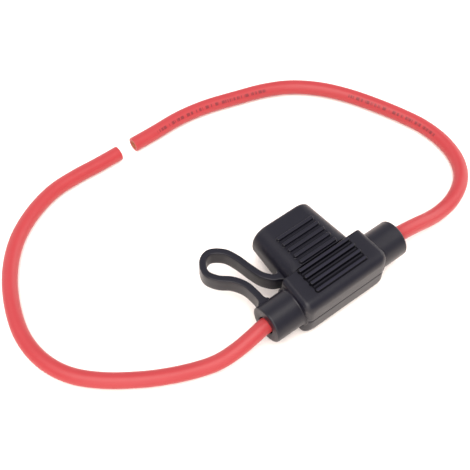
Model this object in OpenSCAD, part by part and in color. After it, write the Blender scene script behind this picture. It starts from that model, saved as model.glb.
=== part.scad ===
// Inline holder for a small blade fuse, lying flat on its back face.
// The leads run along X, the cap pulls off along +Y, and the floor is z = 0.

/* [Housing] */
// Width of the housing at its mouth, along the leads
base_w = 21.1; // [20:0.1:25]
// How much wider the housing is at its closed edge than at its mouth
base_flare = 1.0; // [0:0.1:2]
// From the lead axis to the mouth, where the cap starts
base_up = 4; // [3.6:0.1:5.5]
// From the lead axis to the closed edge
base_down = 5.1; // [4.8:0.1:7]
// Thickness of the housing between its two broad faces
base_t = 10.7; // [10:0.1:13]
// Rounding of the closed edge, seen from the end
base_edge_r = 2.2; // [1:0.1:3]
// Rounding of the closed edge's corners, seen from above
base_corner_r = 1.8; // [1:0.1:3]
// Rounding of the long edges of the two ends
base_end_r = 1.2; // [0.6:0.1:1.8]
// Depth of the parting line round the housing
seam_depth = 0.15; // [0.1:0.01:0.3]
// Width of the parting line
seam_w = 0.3; // [0.2:0.05:0.5]

/* [Necks] */
// Outside diameter of the round neck that each lead leaves by
neck_d = 8.3; // [7:0.1:9]
// From the middle of the housing to the end of a neck
neck_reach = 17.7; // [16:0.1:22]
// Fillet where a neck leaves the housing's end
neck_fillet = 0.45; // [0.2:0.05:0.6]
// Rounding of a neck's end
neck_edge_r = 0.4; // [0.2:0.05:0.8]
// Diameter of the wider mouth at a neck's end
neck_mouth_d = 4.8; // [4.2:0.1:5.6]
// Depth of that mouth
neck_mouth_len = 1.6; // [1:0.1:3]

/* [Cap] */
// Width of the cap at its open edge
cap_w = 17; // [16:0.1:18.5]
// Width of the cap at its closed end
cap_w_top = 15.6; // [15.4:0.1:17]
// Thickness of the cap at its open edge
cap_t = 9.9; // [9.4:0.1:10.6]
// Thickness of the cap at its closed end
cap_t_top = 8.1; // [7.8:0.1:9.4]
// Length of the cap from its open edge to its closed end
cap_len = 13.2; // [12.6:0.1:17]
// Rounding of the cap's two long sides
cap_side_r = 3.6; // [2.4:0.1:3.8]
// Rounding of the cap's closed end
cap_crown_r = 0.9; // [0.5:0.1:1.8]
// Wall of the cap
cap_wall = 1.3; // [1:0.1:1.5]
// Gap between the cap's open edge and the housing
cap_gap = 0.15; // [0.05:0.05:0.3]
// Length of the collar that the cap fits over
collar_len = 4; // [2.5:0.1:6]
// Clearance between the collar and the inside of the cap
collar_clear = 0.25; // [0.15:0.01:0.35]
// How far the cap pulls off before the strap is stretched out
cap_travel = 16; // [14:1:20]

/* [Grip ribs] */
// Height of a rib above the face it stands on
rib_h = 0.6; // [0.3:0.05:0.7]
// Distance from one rib to the next
rib_pitch = 1.83; // [1.5:0.01:2.2]
// Width of a rib's flat crest
rib_w = 0.9; // [0.6:0.05:1.1]
// How far each side of a rib leans
rib_draft = 0.06; // [0.02:0.02:0.14]
// Rounding of a rib's ends, seen from above
rib_end_r = 0.4; // [0.1:0.05:0.5]
// Height of the low rib nearest the housing's closed edge
last_rib_h = 0.3; // [0.1:0.05:0.6]
// From the housing's mouth to the middle of its first rib
base_rib_first = 0.78; // [0.7:0.01:1.2]
// Length of the housing's ribs
base_rib_len = 13.6; // [10:0.1:16]
// Number of ribs on each face of the housing
base_ribs = 4; // [2:1:4]
// From the cap's open edge to the middle of its first rib
cap_rib_first = 0.95; // [0.7:0.05:1.4]
// Length of the cap's ribs
cap_rib_len = 9.8; // [7:0.1:9.8]
// Number of ribs on each face of the cap
cap_ribs = 5; // [2:1:5]

/* [Strap] */
// Thickness of the strap that keeps the cap on the housing
strap_t = 1.45; // [1.2:0.05:1.8]
// Width of the strap, which stands on its edge
strap_h = 3.9; // [3:0.1:4.4]
// From a neck's end to the strap's outer side
strap_inset = 1.75; // [1.2:0.05:2.5]
// From the cap's open edge to the middle of the strap
strap_rise = 2.5; // [1.8:0.1:3.5]
// How far the lug that carries each end of the strap stands out
lug_out = 0.7; // [0.4:0.05:0.9]
// Fillet at the foot of each lug
lug_fillet = 0.6; // [0.3:0.05:0.6]
// Clearance between the strap's ends and their lugs
strap_seat = 0.02; // [0.01:0.01:0.05]

/* [Fuse] */
// Width of the fuse's body, across both blades
fuse_w = 10.9; // [10.6:0.1:11.2]
// Thickness of the fuse's body
fuse_t = 3.7; // [3.4:0.1:4]
// Height of the fuse's body
fuse_h = 8.8; // [8.2:0.1:9.2]
// Width of a blade
blade_w = 2.8; // [2.6:0.05:3]
// Thickness of a blade
blade_t = 0.8; // [0.7:0.05:0.9]
// How far the blades stand out of the body
blade_len = 7.3; // [6.8:0.1:7.6]
// Clearance round the fuse's body in the collar
fuse_clear = 0.25; // [0.15:0.05:0.35]
// Height of the metal strip inside the fuse's body
strip_h = 6; // [5:0.1:7.5]
// Width of the fusible link between the blades
link_w = 1; // [0.6:0.1:1.6]
// Width of the window in each face of the fuse's body
window_w = 6; // [4:0.1:8]
// Height of that window
window_h = 4; // [2:0.1:5]

/* [Terminals] */
// Sheet thickness of a terminal
sheet_t = 0.4; // [0.3:0.05:0.5]
// Gap between a blade and each side of its socket
blade_gap = 0.03; // [0.02:0.01:0.08]
// Length of the socket that grips a blade
socket_len = 6; // [5:0.1:6.4]
// From the fuse's body to the top of a socket
socket_drop = 0.6; // [0.3:0.1:1]
// Play at each edge of a blade inside its socket
side_play = 0.15; // [0.05:0.05:0.2]
// Clearance round a socket in its pocket
pocket_clear = 0.25; // [0.15:0.05:0.35]
// Length of the bent web between a socket and its barrel
web_len = 0.7; // [0.5:0.1:1]
// Length of the crimped barrel
barrel_len = 3.2; // [2.6:0.1:3.6]

/* [Leads] */
// Outside diameter of a lead's insulation
lead_d = 3.4; // [3:0.1:3.6]
// Diameter of the bundle of copper strands
core_d = 2.1; // [1.8:0.1:2.2]
// From the crimped barrel to the cut edge of the insulation
strip_back = 0.15; // [0.1:0.05:0.5]
// Clearance round the lead in the neck's bore
bore_clear = 0.08; // [0.04:0.02:0.16]
// Length of the straight, squarely cut end of each lead
cut_end_len = 6; // [5:0.5:8]

/* [Hidden] */

black = [0.13, 0.13, 0.15];
red = [0.85, 0.2, 0.22];
copper = [0.72, 0.4, 0.25];
tin = [0.75, 0.73, 0.68];
amber = [0.9, 0.7, 0.2];

round_n = 48;
corner_n = 8;
crown_n = 5;
tiny = 0.01;
rib_sunk = 0.3;

axis_z = base_t / 2 + rib_h;
lead_r = lead_d / 2;
bore_r = lead_r + bore_clear;
neck_r = neck_d / 2;

// The fuse and its terminals
blade_x = (fuse_w - blade_w) / 2;
fuse_y = base_up + 0.2;
socket_w = blade_w + 2 * (sheet_t + side_play);
socket_half_t = blade_t / 2 + blade_gap + sheet_t;
socket_y = fuse_y - socket_drop - socket_len;
pocket_y = min(socket_y, fuse_y - blade_len) - pocket_clear;
barrel_x = blade_x + socket_w / 2 + web_len;
barrel_r = core_d / 2 + sheet_t;
lead_start_x = barrel_x + barrel_len + strip_back;

// The lead routes, in the order that each lead leaves its neck
left_route = [
    [-lead_start_x, 0, axis_z], [-neck_reach, 0, axis_z], [-21, -0.1, 5.2], [-25, 0, 3.9],
    [-29, 0.7, 2.5], [-33, 2.1, 1.8], [-38.3, 4.4, 1.7], [-43.8, 7.5, 1.7], [-49.9, 12, 1.7],
    [-54.5, 17.1, 1.7], [-57, 23.2, 1.7], [-57.3, 30.2, 1.7], [-55.2, 37.8, 1.7],
    [-51.4, 45.1, 1.7], [-46.2, 51.1, 1.7], [-39.8, 55.3, 1.7], [-32.8, 57.8, 1.7],
    [-26.3, 58.3, 1.7], [-20.4, 58.1, 1.7], [-14.5, 58.1, 1.7]];
right_route = [
    [lead_start_x, 0, axis_z], [neck_reach, 0, axis_z], [21, 0, 5.5], [25, 0, 4.4],
    [29, 0, 3.1], [33, 0.3, 2.1], [37.5, 1.1, 1.7], [41.9, 3, 1.7], [45.1, 5.8, 1.7],
    [47.3, 9.9, 1.7], [48.2, 15.2, 1.7], [47.7, 20.9, 1.7], [46, 26.3, 1.7], [43.4, 32.5, 1.7],
    [40, 39.1, 1.7], [35.8, 45, 1.7], [30.6, 49.7, 1.7], [24.7, 52.8, 1.7], [17.3, 55.2, 1.7],
    [10.2, 57.2, 1.7], [3.1, 58.2, 1.7], [-4.5, 58.1, 1.7], [-10.5, 58.1, 1.7]];

function unit(v) = v / norm(v);

// A rectangle with round corners, as points that go round once
function round_rect(w, t, r) = [
    for (c = [[1, 1, 0], [-1, 1, 90], [-1, -1, 180], [1, -1, 270]], i = [0 : corner_n])
        let (a = c[2] + 90 * i / corner_n)
        [c[0] * (w / 2 - r) + r * cos(a), c[1] * (t / 2 - r) + r * sin(a)]];

// The same rectangle stood upright across the y axis
function section(w, t, r, y) = [for (p = round_rect(w, t, max(r, 0.2))) [p[0], y, p[1]]];

// Cap width and thickness at distance s from its open edge
function cap_w_at(s) = cap_w + (cap_w_top - cap_w) * s / cap_len;
function cap_t_at(s) = cap_t + (cap_t_top - cap_t) * s / cap_len;

// Points of a smooth curve through the given points, with steps between each pair
function curve(p, steps) = concat([
    for (i = [0 : len(p) - 2], j = [0 : steps - 1])
        let (t = j / steps, a = p[max(i - 1, 0)], b = p[i], c = p[i + 1],
             d = p[min(i + 2, len(p) - 1)])
        b + 0.5 * t * (c - a + t * (2 * a - 5 * b + 4 * c - d + t * (3 * (b - c) + d - a)))
    ], [p[len(p) - 1]]);

// Direction of a line of points at point i
function tangent(p, i) = unit(p[min(i + 1, len(p) - 1)] - p[max(i - 1, 0)]);

// A closed solid through rings of points, the rings in order along the body
module loft(rings) {
    n = len(rings[0]);
    m = len(rings);
    sides = [for (k = [0 : m - 2], i = [0 : n - 1], f = [0, 1])
        let (a = k * n + i, b = k * n + (i + 1) % n)
        f == 0 ? [a, b, a + n] : [b, b + n, a + n]];
    first = [for (i = [n - 1 : -1 : 0]) i];
    last = [for (i = [0 : n - 1]) (m - 1) * n + i];
    polyhedron([for (r = rings, q = r) q], concat(sides, [first, last]), convexity = 4);
}

// A round tube of eight sides along a route
module sweep(route, r) {
    loft([for (i = [0 : len(route) - 1])
        let (t = tangent(route, i), u = unit(cross(t, [0, 0, 1])), v = cross(u, t))
        [for (a = [22.5 : 45 : 359]) route[i] + r * (cos(a) * u + sin(a) * v)]]);
}

// The housing's outline from above, grown outwards by g
module base_plan(g) {
    half = base_w / 2 + g;
    end_half = half + base_flare / 2;
    r = base_corner_r + g;
    low = -base_down - g;
    polygon([[-half, base_up], [half, base_up], [end_half, low + r], [-end_half, low + r]]);
    for (s = [-1, 1])
        translate([s * (end_half - r), low + r])
            circle(r = r, $fn = round_n);
    translate([-(end_half - r), low]) square([2 * (end_half - r), 2 * r]);
}

// The housing seen from the end of a lead, lying on its side
module base_side() {
    r = base_edge_r;
    half = base_t / 2;
    translate([-base_down + r, -half]) square([base_down + base_up - r, base_t]);
    translate([-base_down, r - half]) square([2 * r, base_t - 2 * r]);
    for (s = [-1, 1])
        translate([-base_down + r, s * (half - r)])
            circle(r = r, $fn = round_n);
}

// One end of the housing, cut across, with its face at x = 0 and its long edges rounded
module base_end() {
    r = base_end_r;
    translate([-2 * base_w, -base_t / 2]) square([2 * base_w - r, base_t]);
    translate([-base_w, -base_t / 2 + r]) square([base_w, base_t - 2 * r]);
    for (v = [-1, 1])
        translate([-r, v * (base_t / 2 - r)])
            circle(r = r, $fn = round_n);
}

module base_block() {
    lean = atan(base_flare / 2 / (base_up + base_down));
    intersection() {
        translate([0, 0, -base_t]) linear_extrude(height = 2 * base_t) base_plan(0);
        translate([-base_w, 0, 0])
            rotate([90, 0, 90]) linear_extrude(height = 2 * base_w) base_side();
        translate([base_w / 2, base_up, 0])
            rotate([90, 0, lean])
            linear_extrude(height = 2 * base_w, center = true) base_end();
        mirror([1, 0, 0])
            translate([base_w / 2, base_up, 0])
            rotate([90, 0, lean])
            linear_extrude(height = 2 * base_w, center = true) base_end();
    }
}

// The rings of the cap, shrunk by a wall and shorter by the same wall
function cap_rings(wall, start) = concat(
    [section(cap_w_at(start) - 2 * wall, cap_t_at(start) - 2 * wall, cap_side_r - wall, start)],
    [for (i = [0 : crown_n])
        let (a = 90 * i / crown_n, s = cap_len - wall - cap_crown_r * (1 - sin(a)),
             d = wall + cap_crown_r * (1 - cos(a)))
        section(cap_w_at(s) - 2 * d, cap_t_at(s) - 2 * d, cap_side_r - d, s)]);

// A grip rib of a length and height, along X, with sides that lean and round ends
module rib(len, h) {
    half = rib_w / 2;
    root = half + rib_draft;
    r = rib_end_r;
    intersection() {
        rotate([90, 0, 90])
            translate([0, 0, -len / 2])
            linear_extrude(height = len)
            polygon([[-root, -rib_sunk], [-root, 0], [-half, h],
                     [half, h], [root, 0], [root, -rib_sunk]]);
        translate([0, 0, -2 * rib_sunk])
            linear_extrude(height = h + 3 * rib_sunk) {
                translate([r - len / 2, -root]) square([len - 2 * r, 2 * root]);
                translate([-len / 2, r - root]) square([len, 2 * (root - r)]);
                for (x = [-1, 1], y = [-1, 1])
                    translate([x * (len / 2 - r), y * (root - r)])
                        circle(r = r, $fn = 24);
            }
    }
}

// Both broad faces carry the same ribs
module both_faces() {
    children();
    mirror([0, 0, 1]) children();
}

module base_grip() {
    both_faces()
        for (i = [0 : base_ribs - 1])
            translate([0, base_up - base_rib_first - i * rib_pitch, base_t / 2])
                rib(base_rib_len, i == base_ribs - 1 ? last_rib_h : rib_h);
}

module cap_grip() {
    lean = atan((cap_t - cap_t_top) / 2 / cap_len);
    both_faces()
        translate([0, 0, cap_t / 2])
        rotate([-lean, 0, 0])
        for (i = [0 : cap_ribs - 1])
            translate([0, cap_rib_first + i * rib_pitch, 0])
                rib(cap_rib_len, rib_h);
}

// A round neck from inside the housing to its rounded end, along +X
module neck() {
    wall = base_w / 2 + base_flare / 4;
    rotate([0, 90, 0])
        rotate_extrude($fn = round_n)
        polygon(concat([[0, wall - 1], [neck_r + neck_fillet, wall - 1]],
            [for (a = [0 : 22.5 : 90])
                [neck_r + neck_fillet * (1 - sin(a)), wall + neck_fillet * (1 - cos(a))]],
            [for (a = [0 : 30 : 90])
                [neck_r - neck_edge_r * (1 - cos(a)), neck_reach - neck_edge_r * (1 - sin(a))]],
            [[0, neck_reach]]));
}

// What is hollow on one side: the bore, its mouth and the terminal's pocket
module lead_way() {
    pocket_w = socket_w + 2 * pocket_clear;
    pocket_t = 2 * (socket_half_t + pocket_clear);
    translate([blade_x, 0, 0]) {
        rotate([0, 90, 0])
            cylinder(r = bore_r, h = neck_reach - blade_x + 1, $fn = round_n);
        translate([-pocket_w / 2, pocket_y, -pocket_t / 2])
            cube([pocket_w, base_up - pocket_y + 1, pocket_t]);
    }
    translate([neck_reach - neck_mouth_len, 0, 0])
        rotate([0, 90, 0])
        rotate_extrude($fn = round_n)
        polygon([[0, 0], [bore_r, 0], [neck_mouth_d / 2, 0.6 * neck_mouth_len],
                 [neck_mouth_d / 2, neck_mouth_len + 1], [0, neck_mouth_len + 1]]);
}

// The groove that the two halves of the mould leave round the closed edge and ends
module parting_line() {
    translate([0, 0, -seam_w / 2])
        linear_extrude(height = seam_w)
        difference() {
            translate([-base_w, -base_down - 1]) square([2 * base_w, base_down + base_up + 0.5]);
            base_plan(-seam_depth);
        }
}

// A lug for an end of the strap, along +Y from a wall at y = 0
module lug(w, root) {
    translate([0, 0, -strap_h / 2])
        linear_extrude(height = strap_h) {
            translate([-w / 2, -root]) square([w, root + lug_out]);
            difference() {
                translate([-w / 2 - lug_fillet, -root])
                    square([w + 2 * lug_fillet, root + lug_fillet]);
                for (s = [-1, 1])
                    translate([s * (w / 2 + lug_fillet), lug_fillet])
                        circle(r = lug_fillet, $fn = round_n);
            }
        }
}

// The collar that the cap fits over, with the same taper as the cap's inside
module collar() {
    d = 2 * (cap_wall + collar_clear);
    r = cap_side_r - cap_wall - collar_clear;
    low = -1;
    loft([for (s = [low, collar_len])
        section(cap_w_at(s) - d, cap_t_at(s) - d, r, base_up + cap_gap + s)]);
}

module housing() {
    color(black)
    translate([0, 0, axis_z])
    difference() {
        union() {
            difference() {
                base_block();
                parting_line();
            }
            base_grip();
            collar();
            neck();
            mirror([1, 0, 0]) neck();
            translate([foot[0], foot[1] - lug_out, 0]) lug(strap_t, 1);
        }
        lead_way();
        mirror([1, 0, 0]) lead_way();
        translate([-fuse_w / 2 - fuse_clear, base_up - tiny, -fuse_t / 2 - fuse_clear])
            cube([fuse_w + 2 * fuse_clear, collar_len + 2, fuse_t + 2 * fuse_clear]);
    }
}

module cap() {
    color(black) {
        translate([0, base_up + cap_gap, axis_z])
            difference() {
                loft(cap_rings(0, 0));
                loft(cap_rings(cap_wall, -tiny));
            }
        translate([0, base_up + cap_gap, axis_z])
            difference() {
                cap_grip();
                loft(cap_rings(cap_wall / 2, -1));
            }
        translate([head[0] + lug_out, head[1], axis_z])
            rotate([0, 0, 90])
            lug(1.1 * strap_t, cap_wall / 2);
    }
}

// The strap leaves the left neck, makes a drop-shaped loop and comes back to the cap
foot = [-(neck_reach - strap_inset - strap_t / 2), neck_r - 0.3 + lug_out];
head = [-cap_w_at(strap_rise) / 2 + 0.1 - lug_out, base_up + cap_gap + strap_rise];
strap_points = [
    foot + [0, strap_seat], foot + [0, 2], foot + [-0.4, 4.8], foot + [-1.8, 7.3],
    foot + [-4.1, 9.5], foot + [-5.2, 12], foot + [-4, 14.7], foot + [-1.6, 15.6],
    head + [-5.3, 11.7], head + [-4.1, 8.9], head + [-3.4, 5.5], head + [-2.6, 2.6],
    head + [-1.2, 0.6], head + [-strap_seat, 0]];

module retaining_strap() {
    p = curve(strap_points, 5);
    last = len(p) - 1;
    dirs = [for (i = [0 : last]) i == 0 ? [0, 1] : i == last ? [1, 0] : tangent(p, i)];
    side = [for (i = [0 : last]) strap_t / 2 * [-dirs[i][1], dirs[i][0]]];
    color(black)
    translate([0, 0, axis_z - strap_h / 2])
        linear_extrude(height = strap_h)
        polygon(concat([for (i = [0 : last]) p[i] + side[i]],
                       [for (i = [last : -1 : 0]) p[i] - side[i]]));
}

// A lead: a swept tube, then a straight round end with a hole for its strands
module lead(route, dir) {
    last = len(route) - 1;
    end = route[last];
    color(red)
    difference() {
        union() {
            sweep([for (i = [0 : last - 1]) i == last - 1 ? route[i] + [0.2 * dir, 0, 0] : route[i]],
                  lead_r - tiny);
            translate([end[0] - dir * cut_end_len, end[1], end[2]])
                rotate([0, 90 * dir, 0])
                cylinder(r = lead_r, h = cut_end_len, $fn = round_n);
        }
        translate([end[0] - dir * (cut_end_len - 1), end[1], end[2]])
            rotate([0, 90 * dir, 0])
            cylinder(r = core_d / 2 + tiny, h = cut_end_len, $fn = round_n);
    }
}

module left_lead() { lead(left_route, 1); }
module right_lead() { lead(right_route, -1); }

// Seven copper strands that fill the core, along +X from the origin
module strands(len) {
    strand_r = core_d / 6;
    color(copper)
    rotate([0, 90, 0])
    union() {
        cylinder(r = 1.8 * strand_r, h = len, $fn = 24);
        for (a = [0 : 60 : 300])
            rotate([0, 0, a])
                translate([2 * strand_r, 0, 0])
                    cylinder(r = strand_r - tiny, h = len, $fn = 24);
    }
}

module cut_strands(route, dir) {
    end = route[len(route) - 1];
    translate([end[0] - dir * (cut_end_len - 1), end[1], end[2]])
        mirror([dir < 0 ? 1 : 0, 0, 0])
        strands(cut_end_len - 1);
}

module left_lead_strands() { cut_strands(left_route, 1); }
module right_lead_strands() { cut_strands(right_route, -1); }

module right_crimped_strands() {
    translate([barrel_x + 0.3, 0, axis_z])
        strands(lead_start_x - barrel_x - 0.3);
}

module left_crimped_strands() {
    mirror([1, 0, 0]) right_crimped_strands();
}

// A flag terminal: a split socket for the blade, and a barrel crimped on the strands
module right_terminal() {
    inner_w = socket_w - 2 * sheet_t;
    inner_half = socket_half_t - sheet_t;
    web_x = blade_x + socket_w / 2;
    web_t = 0.9 * sheet_t;
    web_z = -socket_half_t + 0.05 * sheet_t;
    color(tin)
    translate([0, 0, axis_z]) {
        translate([blade_x, socket_y, 0])
            rotate([-90, 0, 0])
            linear_extrude(height = socket_len)
            difference() {
                polygon(round_rect(socket_w, 2 * socket_half_t, sheet_t));
                translate([-inner_w / 2, -inner_half]) square([inner_w, 2 * inner_half]);
                translate([-0.3, -2]) square([0.6, 2]);
            }
        translate([0, 1, 0])
            rotate([90, 0, 0])
            linear_extrude(height = 2)
            polygon([[web_x - sheet_t, web_z], [web_x, web_z], [barrel_x + 0.1, -barrel_r],
                     [barrel_x + 0.1, -core_d / 2 - 0.05], [web_x, web_z + web_t],
                     [web_x - sheet_t, web_z + web_t]]);
        translate([barrel_x, 0, 0])
            rotate([0, 90, 0])
            difference() {
                cylinder(r = barrel_r, h = barrel_len, $fn = round_n);
                translate([0, 0, -1]) cylinder(r = core_d / 2 + 0.02, h = barrel_len + 2, $fn = round_n);
            }
    }
}

module left_terminal() {
    mirror([1, 0, 0]) right_terminal();
}

// The two blades and the link between them, stamped from one strip
module element_outline() {
    tip = 0.6;
    for (s = [-1, 1])
        translate([s * blade_x, 0])
            polygon([[-blade_w / 2, -blade_len + tip], [-blade_w / 2 + tip, -blade_len],
                     [blade_w / 2 - tip, -blade_len], [blade_w / 2, -blade_len + tip],
                     [blade_w / 2, strip_h], [-blade_w / 2, strip_h]]);
    translate([-blade_x, strip_h / 2 + link_w]) square([2 * blade_x, link_w]);
}

module fuse_element() {
    color(tin)
    translate([0, fuse_y, axis_z - blade_t / 2])
        linear_extrude(height = blade_t)
        element_outline();
}

// The fuse's moulded body, with a window recess in each face
module fuse_body() {
    color(amber)
    translate([0, fuse_y, axis_z])
    difference() {
        rotate([-90, 0, 0])
            linear_extrude(height = fuse_h)
            polygon(round_rect(fuse_w, fuse_t, 0.6));
        for (s = [-1, 1])
            translate([-window_w / 2, strip_h / 2 - 0.5, s * fuse_t / 2 - 0.5])
                cube([window_w, window_h, 1]);
        translate([0, 0, -blade_t / 2])
            linear_extrude(height = blade_t)
            element_outline();
    }
}

housing();
cap();
retaining_strap();
left_lead();
right_lead();
left_lead_strands();
right_lead_strands();
left_crimped_strands();
right_crimped_strands();
left_terminal();
right_terminal();
fuse_body();
fuse_element();
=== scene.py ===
"""The looks of the inline fuse holder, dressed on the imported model.

These are its smooth mouldings, its round leads, the finishes, the light and the camera. Everything is in
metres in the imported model's frame: +X along the necks, +Y towards the cap, +Z up.
"""
import math

import bpy
import numpy as np
from mathutils import Matrix, Vector


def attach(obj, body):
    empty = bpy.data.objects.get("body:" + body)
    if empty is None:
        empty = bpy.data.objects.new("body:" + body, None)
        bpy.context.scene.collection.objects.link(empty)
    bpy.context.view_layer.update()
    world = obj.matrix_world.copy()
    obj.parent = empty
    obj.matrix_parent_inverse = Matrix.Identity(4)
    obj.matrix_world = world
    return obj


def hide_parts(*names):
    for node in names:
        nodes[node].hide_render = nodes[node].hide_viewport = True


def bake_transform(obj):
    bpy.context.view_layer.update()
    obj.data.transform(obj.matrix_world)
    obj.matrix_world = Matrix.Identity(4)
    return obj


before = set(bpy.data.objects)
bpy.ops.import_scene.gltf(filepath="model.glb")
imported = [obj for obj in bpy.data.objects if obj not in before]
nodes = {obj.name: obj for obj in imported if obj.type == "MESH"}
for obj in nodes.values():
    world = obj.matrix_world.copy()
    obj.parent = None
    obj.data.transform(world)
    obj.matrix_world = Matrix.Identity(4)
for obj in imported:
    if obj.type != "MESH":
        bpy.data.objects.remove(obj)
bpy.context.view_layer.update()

MM = 0.001
HOLDER, CAP = "holder", "cap_body"


# Camera

# Where the photograph was taken from, found by fitting the holder's corners
CAMERA_AZIMUTH = math.radians(39.1)     # from the -Y side, turned towards -X
CAMERA_ELEVATION = math.radians(55.95)
CAMERA_ROLL = math.radians(1.39)
CAMERA_DISTANCE = 216.4 * MM            # to the aimed point
CAMERA_AIM = Vector((-6.78, 24.03, 0.6)) * MM
CAMERA_LENS, CAMERA_SENSOR = 74.8, 36   # the lens, and the sensor that it is for, both in mm
CAMERA_NEAR = 5 * MM


def make_camera():
    """The camera looks down at the aimed point, then rolls about its own line of sight."""
    az, el, roll = CAMERA_AZIMUTH, CAMERA_ELEVATION, CAMERA_ROLL
    back = Vector((-math.sin(az) * math.cos(el), -math.cos(az) * math.cos(el), math.sin(el)))
    level = Vector((math.cos(az), -math.sin(az), 0))
    right = math.cos(roll) * level + math.sin(roll) * back.cross(level)
    up = back.cross(right)
    camera = bpy.data.objects.new("camera", bpy.data.cameras.new("camera"))
    bpy.context.scene.collection.objects.link(camera)
    turn = Matrix((right, up, back)).transposed().to_4x4()
    camera.matrix_world = Matrix.Translation(CAMERA_AIM + CAMERA_DISTANCE * back) @ turn
    camera.data.lens = CAMERA_LENS
    camera.data.sensor_width = CAMERA_SENSOR
    camera.data.clip_start = CAMERA_NEAR
    camera.data.dof.use_dof = False
    bpy.context.scene.camera = camera


make_camera()


# Meshes

def quarter(count):
    """Angles from 0 to a right angle, for the rings of a rounded edge."""
    return np.linspace(0, np.pi / 2, count)


def full_turn(count):
    """Angles once round, evenly apart."""
    return np.linspace(0, 2 * np.pi, count, endpoint=False)


def grid_faces(rings, sides):
    """(quads, ends): quads between neighbouring rings of the same number of points, and a flat face on each
    end ring."""
    k, i = np.meshgrid(np.arange(rings - 1), np.arange(sides), indexing="ij")
    j = (i + 1) % sides
    quads = np.stack([k * sides + i, k * sides + j, (k + 1) * sides + j, (k + 1) * sides + i], -1)
    ends = np.stack([np.arange(sides)[::-1], (rings - 1) * sides + np.arange(sides)])
    return quads.reshape(-1, 4), ends


def lofted(rings):
    """(points, quads, ends) of a closed skin over rings, an array of rings x points x 3.

    Its faces are turned outwards by the sign of its volume, which is the sum over the skin's quads of their
    middle dotted with their area vector."""
    following = np.roll(rings, -1, 1)
    quads = np.stack([rings[:-1], following[:-1], following[1:], rings[1:]])
    area = np.cross(quads[2] - quads[0], quads[3] - quads[1])
    middle = quads.mean(0) - rings.mean((0, 1))
    if (middle * area).sum() < 0:
        rings = rings[:, ::-1]
    return rings.reshape(-1, 3), *grid_faces(*rings.shape[:2])


def make_piece(name, parts, body, sharp_deg=38, values=None):
    """One object from several closed skins, shaded smooth up to an angle.

    It rides on its body if it has one. values are names, each with one number for each point."""
    points, faces, start = [], [], 0
    for p, quads, ends in parts:
        points.append(p)
        faces += (start + quads).tolist() + (start + ends).tolist()
        start += len(p)
    mesh = bpy.data.meshes.new(name)
    mesh.from_pydata(np.vstack(points).tolist(), [], faces)
    mesh.shade_smooth()
    mesh.set_sharp_from_angle(angle=math.radians(sharp_deg))
    for key, numbers in (values or {}).items():
        attribute = mesh.attributes.new(key, "FLOAT", "POINT")
        attribute.data.foreach_set("value", np.asarray(numbers, np.float32).ravel())
    obj = bpy.data.objects.new(name, mesh)
    bpy.context.scene.collection.objects.link(obj)
    if body:
        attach(obj, body)
    return obj


def smooth_line(points, steps):
    """A smooth line through points: between two of them it is the cubic that leaves and arrives parallel to
    the line between its neighbours."""
    p = np.array(points, float)
    a, b, c, d = p[np.r_[0, 0:len(p) - 2]], p[:-1], p[1:], p[np.r_[2:len(p), len(p) - 1]]
    t = (np.arange(steps) / steps)[None, :, None]
    a, b, c, d = (v[:, None, :] for v in (a, b, c, d))
    line = b + 0.5 * t * (c - a + t * (2 * a - 5 * b + 4 * c - d + t * (3 * (b - c) + d - a)))
    return np.vstack([line.reshape(-1, p.shape[1]), p[-1:]])


def directions(line):
    """Unit vectors along a line of points."""
    t = np.gradient(line, axis=0)
    return t / np.linalg.norm(t, axis=1)[:, None]


def travelled(line):
    """How far along a line each of its points is: the sum of the steps before it."""
    return np.r_[0, np.cumsum(np.linalg.norm(np.diff(line, axis=0), axis=1))]


# Leads

AXIS_Z = 5.95 * MM         # height of the necks' axis
LEAD_R = 1.7 * MM
CORE_R = 1.05 * MM
LEAD_SIDES, LEAD_STEPS = 28, 9      # points round a lead, and rings to each step of its route
CUT_ROUND = 0.12 * MM      # rounding of the insulation at the cut
CORE_DEPTH = 0.8 * MM      # how far the strands are modelled behind the cut

STRAND_SIDES = 10
STRAND_TIP = 0.06 * MM     # length of a strand's rounded tip
STRAND_FILL = 0.99         # a strand's radius, as a share of the room it has
STRAND_TWIST = 0.3         # turn of the rings of strands, in radians
STRAND_UNEVEN = 0.05 * MM  # how unevenly the strands are cut

PRINT_ANGLE = math.radians(135)     # where the line of print is, round a lead
PRINT_RUNS = ((48, 73), (93, 124))  # mm along the right lead, from where its route starts
NO_PRINT = 3.0                      # a turn, in radians, that is far from the line of print

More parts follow.
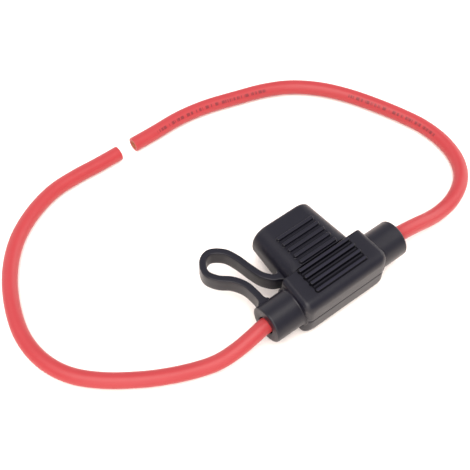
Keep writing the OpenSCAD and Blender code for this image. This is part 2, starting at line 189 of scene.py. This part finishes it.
# The routes of part.scad, from inside each neck to the cut end
LEFT_ROUTE = np.array([
    [-10.05, 0, 5.95], [-17.7, 0, 5.95], [-21, -0.1, 5.2], [-25, 0, 3.9],
    [-29, 0.7, 2.5], [-33, 2.1, 1.8], [-38.3, 4.4, 1.7], [-43.8, 7.5, 1.7], [-49.9, 12, 1.7],
    [-54.5, 17.1, 1.7], [-57, 23.2, 1.7], [-57.3, 30.2, 1.7], [-55.2, 37.8, 1.7], [-51.4, 45.1, 1.7],
    [-46.2, 51.1, 1.7], [-39.8, 55.3, 1.7], [-32.8, 57.8, 1.7], [-26.3, 58.3, 1.7], [-20.4, 58.1, 1.7],
    [-14.5, 58.1, 1.7]]) * MM
RIGHT_ROUTE = np.array([
    [10.05, 0, 5.95], [17.7, 0, 5.95], [21, 0, 5.5], [25, 0, 4.4],
    [29, 0, 3.1], [33, 0.3, 2.1], [37.5, 1.1, 1.7], [41.9, 3, 1.7], [45.1, 5.8, 1.7],
    [47.3, 9.9, 1.7], [48.2, 15.2, 1.7], [47.7, 20.9, 1.7], [46, 26.3, 1.7], [43.4, 32.5, 1.7],
    [40, 39.1, 1.7], [35.8, 45, 1.7], [30.6, 49.7, 1.7], [24.7, 52.8, 1.7], [17.3, 55.2, 1.7],
    [10.2, 57.2, 1.7], [3.1, 58.2, 1.7], [-4.5, 58.1, 1.7], [-10.5, 58.1, 1.7]]) * MM


def circle_rings(line, radius, sides):
    """Rings of a tube: each is the circle of the radius, square to the line's direction, that starts at the
    horizontal across it."""
    t = directions(line)
    u = np.cross(t, [0, 0, 1])
    u /= np.linalg.norm(u, axis=1)[:, None]
    v = np.cross(u, t)
    a = full_turn(sides)
    around = np.cos(a)[None, :, None] * u[:, None] + np.sin(a)[None, :, None] * v[:, None]
    return line[:, None] + radius * around


def make_lead(name, route, cad_lead, cad_strands, print_runs):
    """A round lead along its route, with its cut strands.

    At the cut end the insulation turns in over a quarter circle to its hole, and the strands fill that. Its
    points carry how far along it they are, in mm, and their turn from the line of print, in radians."""
    line = smooth_line(route, LEAD_STEPS)
    end, way = line[-1], directions(line)[-1]
    q = quarter(5)
    back = np.r_[CUT_ROUND * (1 - np.sin(q)), 0, CORE_DEPTH]
    turn_in = np.r_[LEAD_R - CUT_ROUND * (1 - np.cos(q)), CORE_R, CORE_R]
    tube = circle_rings(line[:-1], LEAD_R, LEAD_SIDES)
    a = full_turn(LEAD_SIDES)
    u = np.cross(way, [0, 0, 1])
    across = np.cos(a)[:, None] * u + np.sin(a)[:, None] * np.cross(u, way)
    lip = (end - back[:, None] * way)[:, None] + turn_in[:, None, None] * across[None]
    rings = np.concatenate([tube, lip])
    skin = lofted(rings)

    gone = travelled(rings.mean(1)) / MM
    inked = np.zeros(len(gone), bool)
    for first, last in print_runs:
        inked |= (gone > first) & (gone < last)
    ring_turn = (a - PRINT_ANGLE + np.pi) % (2 * np.pi) - np.pi
    turn = np.where(inked[:, None], ring_turn, NO_PRINT)
    # The skin's points run the other way round where they had to be turned to face outwards
    if not np.allclose(skin[0][0], rings[0, 0]):
        turn = turn[:, ::-1]

    lead = make_piece(name, [skin], HOLDER,
                      values={"print_along": np.repeat(gone, LEAD_SIDES), "print_turn": turn})
    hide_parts(cad_lead)
    strands = make_strands(cad_strands + "_cut", end, way)
    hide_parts(cad_strands)
    return lead, strands


def make_strands(name, end, way):
    """The cut conductor: one strand in the middle, six round it and twelve round those.

    Each is a short cylinder with a rounded tip, a little long or short by the sine of its number."""
    r = CORE_R / 5
    u = np.cross(way, [0, 0, 1])
    v = np.cross(u, way)
    places = [(0.0, 0.0)]
    for ring, count in ((2, 6), (4, 12)):
        turn = full_turn(count) + STRAND_TWIST
        places += list(zip(ring * r * np.cos(turn), ring * r * np.sin(turn)))
    steps = np.array([-CORE_DEPTH, -STRAND_TIP, -STRAND_TIP / 3, 0])
    radii = np.array([1, 1, 0.8, 0.4]) * r * STRAND_FILL
    a = full_turn(STRAND_SIDES)
    around = np.cos(a)[:, None] * u + np.sin(a)[:, None] * v
    parts = []
    for n, (x, y) in enumerate(places):
        proud = STRAND_UNEVEN * math.sin(2.4 * n)
        line = end + x * u + y * v + (steps[:, None] + proud) * way
        parts.append(lofted(line[:, None] + radii[:, None, None] * around[None]))
    return make_piece(name, parts, HOLDER, 50)


left_lead, left_strands = make_lead(
    "left_lead_insulation", LEFT_ROUTE, "left_lead", "left_lead_strands", ())
right_lead, right_strands = make_lead(
    "right_lead_insulation", RIGHT_ROUTE, "right_lead", "right_lead_strands", PRINT_RUNS)


# Mouldings

# The housing, from the necks' axis. Its mouth faces the cap, and its closed edge is on the other side
BASE_HALF_W, BASE_FLARE = 10.55 * MM, 0.5 * MM     # half width at the mouth, and what the other edge adds
BASE_UP, BASE_DOWN = 4.0 * MM, 5.1 * MM            # how far away the mouth and the closed edge are
BASE_HALF_T = 5.35 * MM
BASE_EDGE_R, BASE_CORNER_R, BASE_END_R = 2.2 * MM, 1.8 * MM, 1.2 * MM
BASE_MOUTH_R = 0.2 * MM
SEAM_DEPTH, SEAM_HALF = 0.14 * MM, 0.16 * MM       # the parting line round the housing

NECK_R, NECK_REACH, NECK_EDGE_R = 4.15 * MM, 17.7 * MM, 0.4 * MM
NECK_FILLET = 0.45 * MM                            # where a neck meets the housing's end
NECK_SIDES = 72
BORE_R, MOUTH_R, MOUTH_LEN, MOUTH_EDGE_R = 1.78 * MM, 2.0 * MM, 1.6 * MM, 0.15 * MM

# The cap. TOP is at its closed end
CAP_GAP = 0.15 * MM
CAP_FROM = BASE_UP + CAP_GAP
CAP_LEN = 13.2 * MM
CAP_HALF_W, CAP_HALF_W_TOP = 8.5 * MM, 7.8 * MM
CAP_HALF_T, CAP_HALF_T_TOP = 4.95 * MM, 4.05 * MM
CAP_SIDE_R, CAP_CROWN_R, CAP_WALL = 3.6 * MM, 0.9 * MM, 1.3 * MM
CAP_EDGE_R = 0.2 * MM

# The collar that the cap goes over, and the hollow in it that holds the fuse
COLLAR_LEN, COLLAR_CLEAR, COLLAR_RIM_R = 4.0 * MM, 0.25 * MM, 0.3 * MM
CAVITY_HALF_W, CAVITY_HALF_T, CAVITY_R = 5.7 * MM, 2.1 * MM, 0.4 * MM
CAVITY_RIM_R = 0.2 * MM

RIB_W, RIB_H, LAST_RIB_H, RIB_PITCH = 0.9 * MM, 0.6 * MM, 0.3 * MM, 1.83 * MM
RIB_ROUND, RIB_FOOT, RIB_END_R = 0.22 * MM, 0.18 * MM, 0.4 * MM
GROOVE_HALF = (RIB_PITCH - RIB_W) / 2
BASE_RIB_LEN, BASE_RIB_FIRST, BASE_RIBS = 13.6 * MM, 0.78 * MM, 4
CAP_RIB_LEN, CAP_RIB_FIRST, CAP_RIBS = 9.8 * MM, 0.95 * MM, 5

STRAP_HALF_T, STRAP_HALF_H = 0.725 * MM, 1.95 * MM
STRAP_EDGE_R, STRAP_STEPS = 0.22 * MM, 10
# The lug at each end of the strap: how much it adds to the half thickness, how far it reaches along the
# strap, and over what length it then fades
LUG_MORE, NECK_LUG, CAP_LUG, LUG_FADE = 0.7 * MM, 1.4 * MM, 0.6 * MM, 0.32 * MM

# How open to the light the moulding is, as painted light and shade in its colour. OPEN leaves the finish as
# it is, less is painted shade, darker and duller, and more is a painted highlight, lighter
OPEN = 0.5
COLLAR_PAINTED_SHADE, CAP_INSIDE_PAINTED_SHADE, MOUTH_PAINTED_SHADE, DEEP_PAINTED_SHADE, GAP_PAINTED_SHADE = 0.38, 0.3, 0.1, 0.08, 0.0
# The contrast scales the ribs' painted shade and painted highlight
BASE_CONTRAST, CAP_CONTRAST = 1.0, 0.32            # how much of the ribs' change of shade there is


def rectangle_rings(half_w, half_t, r, y, flat_n=14, corner_n=9, side_n=13):
    """Rings of a rectangle with round corners, upright across Y, from one value of each size for each ring.

    Each point is a corner's centre, slid along the flats, plus its corner's radius times a direction that is
    square to a flat or turns round a corner. Points on the short sides crowd to the middle height, where the
    parting line is."""
    half_w, half_t, r, y = (np.asarray(v, float)[:, None] for v in np.broadcast_arrays(half_w, half_t, r, y))
    flat = np.linspace(-1, 1, flat_n)[1:-1]
    even = np.linspace(-1, 1, side_n)[1:-1]
    side = np.sign(even) * np.abs(even) ** 2
    turn, right = quarter(corner_n), np.pi / 2
    one = np.ones_like
    fx = np.concatenate([one(turn), -flat, -one(turn), -one(side), -one(turn), flat, one(turn), one(side)])
    fz = np.concatenate([one(turn), one(flat), one(turn), -side, -one(turn), -one(flat), -one(turn), side])
    angle = np.concatenate([
        turn, np.full(len(flat), right), turn + right, np.full(len(side), 2 * right),
        turn + 2 * right, np.full(len(flat), 3 * right), turn + 3 * right, np.full(len(side), 4 * right)])
    x = fx * (half_w - r) + np.cos(angle) * r
    z = fz * (half_t - r) + np.sin(angle) * r
    return np.stack([x, np.broadcast_to(y, x.shape), z + AXIS_Z], -1)


def laid_flat(rings):
    """Upright rings about the necks' axis, laid level about the origin: up becomes +Y, and +Y becomes up."""
    return np.stack([rings[..., 0], rings[..., 2] - AXIS_Z, rings[..., 1]], -1)


def seam(points, inward_x, inward_y):
    """Sinks the parting line into the rings: a groove round their middle height, as deep as a bell curve of
    the height, along each ring's inward direction."""
    depth = SEAM_DEPTH * np.exp(-((points[..., 2] - AXIS_Z) / SEAM_HALF) ** 2)
    points[..., 0] -= np.sign(points[..., 0]) * inward_x[:, None] * depth
    points[..., 1] += inward_y[:, None] * depth
    return points


def rib_skin(length, height):
    """(rings, shades) of a rib: rounded rectangles seen from above, stacked from inside the face over a
    hollow fillet at the foot, up a side and over a round crest.

    The rounding takes at most 0.6 of the height. The foot, the sides and the start of the rounding are
    painted deep in shade, and the crest is painted light, a painted highlight."""
    foot, crest = RIB_FOOT, min(RIB_ROUND, 0.6 * height)
    q = quarter(5)
    grow = np.r_[foot, foot * (1 - np.sin(q)), -crest * (1 - np.cos(q)), -crest - 0.02 * MM]
    up = np.r_[-0.3 * MM, foot * (1 - np.cos(q)), height - crest * (1 - np.sin(q)), height]
    rings = rectangle_rings(length / 2 + grow, RIB_W / 2 + grow, RIB_END_R + grow, up, 5, 7, 5)
    # Painted shade on the foot and the sides, rising to a painted highlight on the crest
    return laid_flat(rings), np.r_[np.full(9, DEEP_PAINTED_SHADE), 0.3, 0.8, 1]


def painted_groove_shade_sheet(length):
    """(rings, shades) of a sheet of painted shade on the floor between two ribs: a rectangle a hair above
    the face.

    A painted lighter strip runs along it, nearer to the rib on its +Y side, and the margins round that are
    painted deep in shade."""
    proud = 0.012 * MM
    inset = np.array([0, 0, 0.28, 0.33]) * MM
    up = [-0.2 * MM, proud, proud, proud]
    rings = rectangle_rings(length / 2 - inset, GROOVE_HALF - inset, 0.1 * MM, up, 5, 3, 3)
    rings[..., 2] += 0.6 * inset[:, None]
    return laid_flat(rings), np.array([DEEP_PAINTED_SHADE, DEEP_PAINTED_SHADE, 0.15, 0.45])


def grip(first, step, face_height, lean_from, lean, length, heights, contrast):
    """(rings, shades) of the ribs on both broad faces and of the sheets of painted shade between them.

    Each is raised to its face, which leans evenly from a given Y on, and turned over for the back face. The
    contrast scales how far the painted shades are from OPEN."""
    skins = []
    places = [(first + n * step, rib_skin(length, h)) for n, h in enumerate(heights)]
    places += [(first + (n + 0.5) * step, painted_groove_shade_sheet(length)) for n in range(len(heights) - 1)]
    for y, (rings, shades) in places:
        for side in (1, -1):
            set_on = rings + [0, y, 0]
            set_on[..., 2] += face_height + (set_on[..., 1] - lean_from) * lean
            set_on[..., 2] *= side
            skins.append((set_on + [0, 0, AXIS_Z], OPEN + contrast * (shades - OPEN)))
    return skins


def flared(y):
    """The housing's half width at y, which grows evenly from the mouth to the closed edge."""
    return BASE_HALF_W + BASE_FLARE * (BASE_UP - y) / (BASE_UP + BASE_DOWN)


def housing_block():
    """(rings, shades) of the housing in one run: over the closed edge, along the flanks, in across the
    mouth, out along the collar, and down to the floor of the hollow that holds the fuse.

    Edges are quarter circles: a sine of the turn along Y and a cosine across it."""
    # Half heights of the rings that close the flat of the edge. Below, all get a hair more, so that the
    # first isn't a line
    shut = np.array([0, 0.15, 0.3, 0.5, 0.8, 1.6]) * MM
    a = np.linspace(np.pi / 2, 0, 10)
    q = quarter(5)
    flank = np.linspace(-BASE_DOWN + BASE_EDGE_R, BASE_UP - BASE_MOUTH_R, 12)[1:]
    edge_y = -BASE_DOWN + BASE_EDGE_R * (1 - np.sin(a))
    edge_in = 1 - np.cos(a)
    low_w = flared(-BASE_DOWN) - BASE_CORNER_R
    y = np.r_[np.full(len(shut), -BASE_DOWN), edge_y, flank, BASE_UP - BASE_MOUTH_R * (1 - np.sin(q))]
    w = np.r_[np.full(len(shut), low_w), flared(edge_y) - BASE_CORNER_R * edge_in, flared(flank),
              flared(BASE_UP) - BASE_MOUTH_R * (1 - np.cos(q))]
    t = np.r_[shut + 0.001 * MM, BASE_HALF_T - BASE_EDGE_R * edge_in, np.full(len(flank), BASE_HALF_T),
              BASE_HALF_T - BASE_MOUTH_R * (1 - np.cos(q))]
    inward_x = np.r_[np.zeros(len(shut)), np.cos(a), np.ones(len(flank) + len(q))]
    inward_y = np.r_[np.ones(len(shut)), np.sin(a), np.zeros(len(flank) + len(q))]
    outer = seam(rectangle_rings(w, t, np.minimum(BASE_END_R, t), y), inward_x, inward_y)

    off = CAP_WALL + COLLAR_CLEAR
    along = np.array([0, 0.5, 1]) * (COLLAR_LEN + CAP_GAP)
    collar_w = CAP_HALF_W - off + (CAP_HALF_W_TOP - CAP_HALF_W) * along / CAP_LEN
    collar_t = CAP_HALF_T - off + (CAP_HALF_T_TOP - CAP_HALF_T) * along / CAP_LEN
    top = BASE_UP + along[-1]
    rim = COLLAR_RIM_R * (1 - np.cos(q))
    w = np.r_[collar_w[:2], collar_w[2] - rim, np.full(len(q) + 2, CAVITY_HALF_W), 0.5 * CAVITY_HALF_W]
    t = np.r_[collar_t[:2], collar_t[2] - rim, np.full(len(q) + 2, CAVITY_HALF_T), 0.4 * CAVITY_HALF_T]
    y = np.r_[BASE_UP + along[:2], top - COLLAR_RIM_R * (1 - np.sin(q)),
              top - CAVITY_RIM_R * (1 - np.sin(q[::-1])), top - 1 * MM, BASE_UP, BASE_UP]
    r = np.r_[np.full(2 + len(q), CAP_SIDE_R - off), np.full(len(q) + 2, CAVITY_R), 0.3 * MM]
    inner = rectangle_rings(w, t, r, y)

    # Painted shade: darkest on the mouth's rounding at the gap with the cap, and darker on the collar and in
    # the hollow
    shades = np.r_[np.full(len(outer) - len(q) + 1, OPEN), np.full(len(q) - 1, GAP_PAINTED_SHADE),
                   np.full(len(inner), COLLAR_PAINTED_SHADE)]
    return np.concatenate([outer, inner]), shades


def neck(side):
    """(rings, shades) of a neck turned about X: out of the housing's end over a fillet, along, round its
    edge and back into the bore."""
    q = quarter(6)
    wall = BASE_HALF_W + BASE_FLARE / 2
    x = np.r_[wall - 1 * MM, wall + NECK_FILLET * (1 - np.cos(q)) - 0.1 * MM,
              NECK_REACH - NECK_EDGE_R * (1 - np.sin(q)), NECK_REACH - MOUTH_EDGE_R * (1 - np.cos(q[1:])),
              NECK_REACH - np.array([0.4, 1, 3]) * MOUTH_LEN]
    r = np.r_[NECK_R + NECK_FILLET, NECK_R + NECK_FILLET * (1 - np.sin(q)),
              NECK_R - NECK_EDGE_R * (1 - np.cos(q)), MOUTH_R + MOUTH_EDGE_R * (1 - np.sin(q[1:])),
              MOUTH_R, BORE_R, BORE_R]
    line = np.stack([side * x, np.zeros(len(x)), np.full(len(x), AXIS_Z)], -1)
    a = full_turn(NECK_SIDES)
    around = np.stack([np.zeros(NECK_SIDES), np.cos(a), np.sin(a)], -1)
    rings = line[:, None] + r[:, None, None] * around[None]
    # Painted shade in the mouth and the bore
    return rings, np.where(r > MOUTH_R + 0.1 * MM, OPEN, MOUTH_PAINTED_SHADE)


def cap_skin():
    """(rings, shades) of the cap in one run: out from the middle of its closed end, round the crown, along,
    round the open edge and back inside to the closed end.

    Both half sizes shrink evenly towards the closed end, less an inset d at the distance s from the edge."""
    q, e = quarter(8), quarter(4)
    crown = CAP_LEN - CAP_CROWN_R * (1 - np.cos(q))
    crown_in = CAP_CROWN_R * (1 - np.sin(q))
    along = np.linspace(crown[-1], CAP_EDGE_R, 10)[1:]
    edge = CAP_EDGE_R * (1 - np.sin(e))
    edge_in = CAP_EDGE_R * (1 - np.cos(e))
    floor = CAP_LEN - CAP_WALL
    s = np.r_[CAP_LEN, CAP_LEN, crown, along, edge, edge[::-1], 3 * MM, floor - CAP_CROWN_R, floor, floor]
    d = np.r_[3 * MM, 2 * MM, crown_in, np.zeros(len(along)), edge_in, CAP_WALL - edge_in[::-1], CAP_WALL,
              CAP_WALL, CAP_WALL + CAP_CROWN_R, CAP_WALL + 1.7 * MM]
    w = CAP_HALF_W + (CAP_HALF_W_TOP - CAP_HALF_W) * s / CAP_LEN - d
    t = CAP_HALF_T + (CAP_HALF_T_TOP - CAP_HALF_T) * s / CAP_LEN - d
    rings = rectangle_rings(w, t, np.maximum(CAP_SIDE_R - d, 0.3 * MM), CAP_FROM + s, 14, 16, 7)
    outside, edges = 2 + len(crown) + len(along), 2 * len(e)
    # Painted shade: darkest on the open edge's roundings at the gap, and darker inside
    shades = np.r_[np.full(outside, OPEN), np.full(edges, GAP_PAINTED_SHADE),
                   np.full(len(s) - outside - edges, CAP_INSIDE_PAINTED_SHADE)]
    return rings, shades


def make_moulding(name, node, body, skins):
    """A piece of the black moulding from (rings, shades) skins, with one painted shade for each ring."""
    shades = [np.repeat(shade, rings.shape[1]) for rings, shade in skins]
    piece = make_piece(name, [lofted(rings) for rings, shade in skins], body,
                       values={"shade": np.concatenate(shades)})
    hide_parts(node)
    return piece


def make_housing():
    """The housing's block with its two necks and its ribs. The rib furthest from the cap is lower."""
    heights = [RIB_H] * (BASE_RIBS - 1) + [LAST_RIB_H]
    ribs = grip(BASE_UP - BASE_RIB_FIRST, -RIB_PITCH, BASE_HALF_T, 0, 0, BASE_RIB_LEN, heights,
                BASE_CONTRAST)
    return make_moulding("housing_moulding", "housing", HOLDER, [housing_block(), neck(-1), neck(1)] + ribs)


def make_cap():
    """The cap's skin with its ribs, which lean in with its faces."""
    lean = (CAP_HALF_T_TOP - CAP_HALF_T) / CAP_LEN
    heights = [RIB_H] * CAP_RIBS
    ribs = grip(CAP_FROM + CAP_RIB_FIRST, RIB_PITCH, CAP_HALF_T, CAP_FROM, lean, CAP_RIB_LEN, heights,
                CAP_CONTRAST)
    return make_moulding("cap_moulding", "cap", CAP, [cap_skin()] + ribs)


# The strap's middle line, seen from above, from inside the left neck to inside the cap's wall
STRAP_ROUTE = np.array([
    [-15.22, 2.6], [-15.22, 4.5], [-15.22, 6.55], [-15.62, 9.35], [-17.02, 11.85], [-19.32, 14.05],
    [-20.43, 16.55], [-19.23, 19.25], [-16.82, 20.15], [-14.27, 18.35], [-13.07, 15.55], [-12.37, 12.15],
    [-11.57, 9.25], [-10.17, 7.25], [-8.97, 6.65], [-7.9, 6.6]]) * MM


def make_strap():
    """A band on its edge along its line: a rectangle with round corners, thicker near both ends by a fillet
    that fades as an exponential of the distance from the lug."""
    flat_line = smooth_line(STRAP_ROUTE, STRAP_STEPS)
    line = np.c_[flat_line, np.full(len(flat_line), AXIS_Z)]
    across = np.cross([0, 0, 1], directions(line))
    gone = travelled(line)
    from_neck = np.clip(gone - NECK_LUG, 0, None)
    from_cap = np.clip(gone[-1] - gone - CAP_LUG, 0, None)
    half = STRAP_HALF_T + LUG_MORE * (np.exp(-from_neck / LUG_FADE) + np.exp(-from_cap / LUG_FADE))
    ring = rectangle_rings(half, np.full(len(half), STRAP_HALF_H), STRAP_EDGE_R, 0, 5, 5, 7)
    points = line[:, None] + ring[..., :1] * across[:, None]
    points[..., 2] = ring[..., 2]
    strap = make_piece("strap_band", [lofted(points)], None,
                       values={"shade": np.full(points.shape[:2], OPEN)})
    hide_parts("retaining_strap")
    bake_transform(strap)
    return strap


housing, cap, strap = make_housing(), make_cap(), make_strap()


# Finishes

DRIFT_SCALE = 180.0                     # a drift of colour about 5.5 mm across
LESS_ROUGH, MORE_ROUGH = 0.05, 0.06     # how far the roughness drifts with it
# The colour scale of a painted shade of 0 and of a painted highlight of 1
DARKEST, LIGHTEST = 0.15, 1.85          # what a shade of 0 and one of 1 scale the colour by

INK, INK_COVER = "#5a2428", 0.7         # faded print, and how much of the red it covers
DASH_SCALE = 1.15                       # dashes about 0.9 mm long, from a distance in mm
DASH_FROM, DASH_TO = 0.47, 0.53         # where the noise turns from bare to ink
LINE_TO, LINE_FROM = 0.2, 0.26          # the edge of the line of print, as a turn from its middle in radians

# The sockets of a Mix node when it mixes colours, which share their names with others
MIX_SHARE, MIX_FIRST, MIX_SECOND, MIXED = 0, 6, 7, 2


def linear(hex_colour):
    """An sRGB colour such as #c83232 as linear red, green, blue and alpha."""
    srgb = [int(hex_colour[i:i + 2], 16) / 255 for i in (1, 3, 5)]
    return [c / 12.92 if c <= 0.04045 else ((c + 0.055) / 1.055) ** 2.4 for c in srgb] + [1.0]


def add_node(tree, kind, settings, links=None):
    """Adds a node. settings are properties by name, or inputs by name or number, and links are the outputs
    that feed inputs by name or number."""
    node = tree.nodes.new(kind)
    for key, value in settings.items():
        if isinstance(key, int) or key in node.inputs:
            node.inputs[key].default_value = value
        else:
            setattr(node, key, value)
    for key, output in (links or {}).items():
        tree.links.new(output, node.inputs[key])
    return node


def finish(name, light, dark, roughness, grain_mm, bump_mm, shaded=False, marked=False, **principled):
    """A surface whose colour and roughness drift a little and whose fine grain is a bump, both from noise in
    Object coordinates.

    If shaded, the points' painted shade and painted highlight scale the colour, and below OPEN the painted
    shade takes the gloss away too. If marked, the points' print is laid over the colour."""
    material = bpy.data.materials.new(name)
    material.use_nodes = True
    tree = material.node_tree
    tree.nodes.clear()
    where = add_node(tree, "ShaderNodeTexCoord", {}).outputs["Object"]
    drift = add_node(tree, "ShaderNodeTexNoise", {"Scale": DRIFT_SCALE, "Detail": 3.0},
                     {"Vector": where}).outputs["Fac"]
    grain = add_node(tree, "ShaderNodeTexNoise", {"Scale": 1 / (grain_mm * MM), "Detail": 2.0},
                     {"Vector": where}).outputs["Fac"]
    colour = add_node(tree, "ShaderNodeMix",
                      {"data_type": "RGBA", MIX_FIRST: linear(dark), MIX_SECOND: linear(light)},
                      {MIX_SHARE: drift}).outputs[MIXED]
    links = {}
    if shaded:
        shade = add_node(tree, "ShaderNodeAttribute", {"attribute_name": "shade"}).outputs["Fac"]
        scale = add_node(tree, "ShaderNodeMapRange", {"To Min": DARKEST, "To Max": LIGHTEST},
                         {"Value": shade}).outputs["Result"]
        colour = add_node(tree, "ShaderNodeVectorMath", {"operation": "SCALE"},
                          {"Vector": colour, "Scale": scale}).outputs["Vector"]
        # Painted shade also dims the reflection where the shade is below OPEN
        links["Specular Tint"] = add_node(tree, "ShaderNodeMapRange", {"From Max": OPEN},
                                          {"Value": shade}).outputs["Result"]
    if marked:
        colour = add_node(tree, "ShaderNodeMix", {"data_type": "RGBA", MIX_SECOND: linear(INK)},
                          {MIX_FIRST: colour, MIX_SHARE: print_marks(tree)}).outputs[MIXED]
    links["Base Color"] = colour
    links["Roughness"] = add_node(tree, "ShaderNodeMapRange",
                                  {"To Min": roughness - LESS_ROUGH, "To Max": roughness + MORE_ROUGH},
                                  {"Value": drift}).outputs["Result"]
    links["Normal"] = add_node(tree, "ShaderNodeBump", {"Strength": 1.0, "Distance": bump_mm * MM},
                               {"Height": grain}).outputs["Normal"]
    shader = add_node(tree, "ShaderNodeBsdfPrincipled", principled, links)
    add_node(tree, "ShaderNodeOutputMaterial", {}, {"Surface": shader.outputs["BSDF"]})
    return material


def print_marks(tree):
    """How much faded ink covers the insulation: the dashes times the line of print.

    The points carry the distance along the lead and the turn from that line, and noise along the lead breaks
    the line into short dashes that spell nothing."""
    along = add_node(tree, "ShaderNodeAttribute", {"attribute_name": "print_along"}).outputs["Fac"]
    turn = add_node(tree, "ShaderNodeAttribute", {"attribute_name": "print_turn"}).outputs["Fac"]
    noise = add_node(tree, "ShaderNodeTexNoise",
                     {"noise_dimensions": "1D", "Scale": DASH_SCALE, "Detail": 1.0},
                     {"W": along}).outputs["Fac"]
    dashes = add_node(tree, "ShaderNodeMapRange",
                      {"From Min": DASH_FROM, "From Max": DASH_TO, "To Max": INK_COVER},
                      {"Value": noise}).outputs["Result"]
    far = add_node(tree, "ShaderNodeMath", {"operation": "ABSOLUTE"}, {0: turn}).outputs["Value"]
    on_line = add_node(tree, "ShaderNodeMapRange",
                       {"From Min": LINE_TO, "From Max": LINE_FROM, "To Min": 1.0, "To Max": 0.0},
                       {"Value": far}).outputs["Result"]
    return add_node(tree, "ShaderNodeMath", {"operation": "MULTIPLY"},
                    {0: dashes, 1: on_line}).outputs["Value"]


def paint(material, *objects):
    """Gives each object this one material."""
    for obj in objects:
        obj.data.materials.clear()
        obj.data.materials.append(material)


# Soft black PVC of the one-piece moulding, from a spark-eroded mould: satin, and a little blue in the light.
# Its fine grain is drawn at 0.22 mm, coarser than it is, so that it shows
# Its colour is scaled by painted shade in grooves, gaps and hollows and by a painted highlight on rib crests
paint(finish("soft_black_pvc", "#0b0a15", "#090811", 0.38, 0.22, 0.007, shaded=True,
             **{"Specular IOR Level": 0.32}), housing, cap, strap)
# PVC wire insulation, extruded: an even red with a soft shine and faint long waves instead of a grain
paint(finish("red_wire_insulation", "#a13537", "#9b3133", 0.38, 0.9, 0.004, marked=True,
             **{"Specular IOR Level": 0.28}), left_lead, right_lead)
# Bare annealed copper, sheared: brown and dull, with the scratches of the cut at 0.12 mm
paint(finish("cut_copper", "#b4683f", "#7a4226", 0.42, 0.12, 0.006, Metallic=1.0),
      left_strands, right_strands)
# The same wire pressed in its crimp, which is cleaner
paint(finish("crimped_copper", "#b9734a", "#9a5834", 0.4, 0.12, 0.006, Metallic=1.0),
      nodes["left_crimped_strands"], nodes["right_crimped_strands"])
# Brass sheet with a tin plating: pale, with a soft metal shine and the faint waves of rolling
paint(finish("tinned_brass", "#d2cdbf", "#bcb6a6", 0.3, 0.3, 0.003, Metallic=1.0),
      nodes["left_terminal"], nodes["right_terminal"])
# Yellow polycarbonate of the fuse's body, moulded: glossy, and almost without a grain
paint(finish("clear_yellow_plastic", "#f0b81e", "#e8ab12", 0.16, 0.8, 0.002), nodes["fuse_body"])
# Zinc alloy of the fuse's stamping, rolled: bright grey metal
paint(finish("zinc_stamping", "#c9c9c6", "#b5b5b2", 0.28, 0.3, 0.003, Metallic=1.0), nodes["fuse_element"])


# Studio

LAMP_COLOUR = (1, 0.94, 0.88)
LAMP_AIM = Vector((0, 20, 0)) * MM
SKY_COLOUR, SKY_STRENGTH = (0.87, 0.87, 1, 1), 0.84
TABLE_HALF = 3.0

# Each lamp's width in metres, its power in watts and its place
LAMPS = {
    "soft_light_above": (0.8, 10.5, (-0.25, -0.15, 0.88)),
    "fill_from_the_right": (0.9, 7.0, (0.9, -0.05, 0.4)),
    "fill_from_the_front_left": (0.9, 6.5, (-0.6, -0.65, 0.42)),
    "fill_from_behind": (0.9, 3.0, (-0.1, 0.9, 0.4)),
}


def make_lamp(name, width, power, place):
    """A square lamp at its place, turned to the holder."""
    lamp = bpy.data.lights.new(name, "AREA")
    lamp.size, lamp.energy, lamp.color = width, power, LAMP_COLOUR
    obj = bpy.data.objects.new(name, lamp)
    bpy.context.scene.collection.objects.link(obj)
    obj.location = place
    obj.rotation_mode = "QUATERNION"
    obj.rotation_quaternion = (LAMP_AIM - Vector(place)).to_track_quat("-Z", "Y")


def make_studio():
    """A white table, wide warm lamps above and on three sides, and an even, slightly blue light all round.

    The even light gives the black tops their even dark tone, and the bright table gives the upright walls
    their warm one."""
    corners = [(x * TABLE_HALF, y * TABLE_HALF, 0) for x, y in ((-1, -1), (1, -1), (1, 1), (-1, 1))]
    mesh = bpy.data.meshes.new("table")
    mesh.from_pydata(corners, [], [(0, 1, 2, 3)])
    table = bpy.data.objects.new("table", mesh)
    bpy.context.scene.collection.objects.link(table)
    # Matt white paper, a little warm and smooth
    paint(finish("white_table", "#fff8f0", "#fdf6ee", 0.8, 5.0, 0.0), table)
    for name, (width, power, place) in LAMPS.items():
        make_lamp(name, width, power, place)
    # A product photograph on white is shown without a film curve
    bpy.context.scene.view_settings.view_transform = "Standard"
    world = bpy.data.worlds.new("studio")
    bpy.context.scene.world = world
    world.use_nodes = True
    sky = world.node_tree.nodes["Background"]
    sky.inputs["Color"].default_value = SKY_COLOUR
    sky.inputs["Strength"].default_value = SKY_STRENGTH


make_studio()
